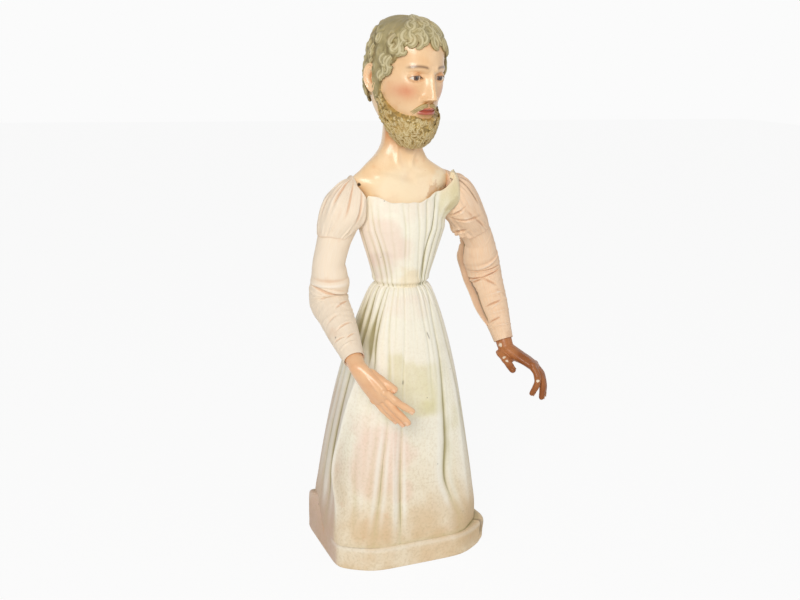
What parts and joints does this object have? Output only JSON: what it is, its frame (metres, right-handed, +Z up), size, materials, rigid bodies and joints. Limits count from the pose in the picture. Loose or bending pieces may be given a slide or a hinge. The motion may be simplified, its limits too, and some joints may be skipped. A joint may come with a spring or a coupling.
{
  "type": "nativity figure",
  "caption": "Standing dressed figure: painted head and bust, pleated stiffened-cloth bodice and skirt on a plinth, padded sleeved arms that turn at shoulder, elbow and wrist.",
  "frame": {"origin": "under the middle of the plinth, on the surface that the figure stands on", "axes": "+Z up; the figure faces -Y and its left hand is towards +X"},
  "size_m": [0.2763, 0.1947, 0.6006],
  "materials": {
    "wood": "plain sawn softwood",
    "stiff_cloth": "linen stiffened with size and gesso, off-white paint worn at folds and hem",
    "iron": "dull wrought iron",
    "flesh_paint": "carved wood with gesso ground, flesh paint and gloss varnish",
    "eye_glass": "polished glass",
    "sleeve_cotton": "plain-weave cotton",
    "tow": "loose flax tow"
  },
  "bodies": {
    "body": {"plinth_board": "wood", "hem_band": "stiff_cloth", "skirt": "stiff_cloth", "skirt_slat_1": "wood", "skirt_slat_2": "wood", "skirt_slat_3": "wood", "skirt_slat_4": "wood", "skirt_slat_5": "wood", "skirt_slat_6": "wood", "skirt_slat_7": "wood", "skirt_slat_8": "wood", "waist_disc": "wood", "centre_post": "wood", "bodice": "stiff_cloth", "chest_block": "wood", "bust_tack_1": "iron", "bust_tack_2": "iron", "bust_tack_3": "iron", "bust_tack_4": "iron", "shoulder_axle": "wood", "head_and_bust": "flesh_paint", "glass_eye_right": "eye_glass", "glass_eye_left": "eye_glass", "axle_cap_right": "wood", "axle_cap_left": "wood"},
    "right_upper_arm": {"upper_arm_core_right": "wood", "elbow_pin_right": "iron", "puff_sleeve_right": "sleeve_cotton", "long_sleeve_upper_right": "sleeve_cotton", "upper_arm_tow_right": "tow"},
    "right_forearm": {"forearm_core_right": "wood", "long_sleeve_fore_right": "sleeve_cotton", "forearm_tow_right": "tow"},
    "right_hand": {"hand_right": "flesh_paint"},
    "left_upper_arm": {"upper_arm_core_left": "wood", "elbow_pin_left": "iron", "puff_sleeve_left": "sleeve_cotton", "long_sleeve_upper_left": "sleeve_cotton", "upper_arm_tow_left": "tow"},
    "left_forearm": {"forearm_core_left": "wood", "long_sleeve_fore_left": "sleeve_cotton", "forearm_tow_left": "tow"},
    "left_hand": {"hand_left": "flesh_paint"}
  },
  "joints": [
    {"name": "right_shoulder", "type": "hinge", "parent": "body", "child": "right_upper_arm", "pos_m": [-0.0611, 0.004, 0.408], "axis": [-1, 0, 0], "range_deg": [-2, 70]},
    {"name": "right_elbow", "type": "hinge", "parent": "right_upper_arm", "child": "right_forearm", "pos_m": [-0.08025, 0.01198, 0.29387], "axis": [-0.9809, -0.1157, 0.1565], "range_deg": [-10, 18]},
    {"name": "right_wrist", "type": "hinge", "parent": "right_forearm", "child": "right_hand", "pos_m": [-0.07821, -0.07406, 0.24296], "axis": [-0.0203, 0.8605, 0.5091], "range_deg": [-40, 40]},
    {"name": "left_shoulder", "type": "hinge", "parent": "body", "child": "left_upper_arm", "pos_m": [0.0611, 0.004, 0.408], "axis": [-1, 0, 0], "range_deg": [-25, 70]},
    {"name": "left_elbow", "type": "hinge", "parent": "left_upper_arm", "child": "left_forearm", "pos_m": [0.12084, 0.03141, 0.31242], "axis": [-0.8002, 0.477, -0.3634], "range_deg": [-35, 34]},
    {"name": "left_wrist", "type": "hinge", "parent": "left_forearm", "child": "left_hand", "pos_m": [0.1335, -0.01439, 0.22443], "axis": [-0.1266, 0.458, 0.8799], "range_deg": [-45, 45]}
  ]
}
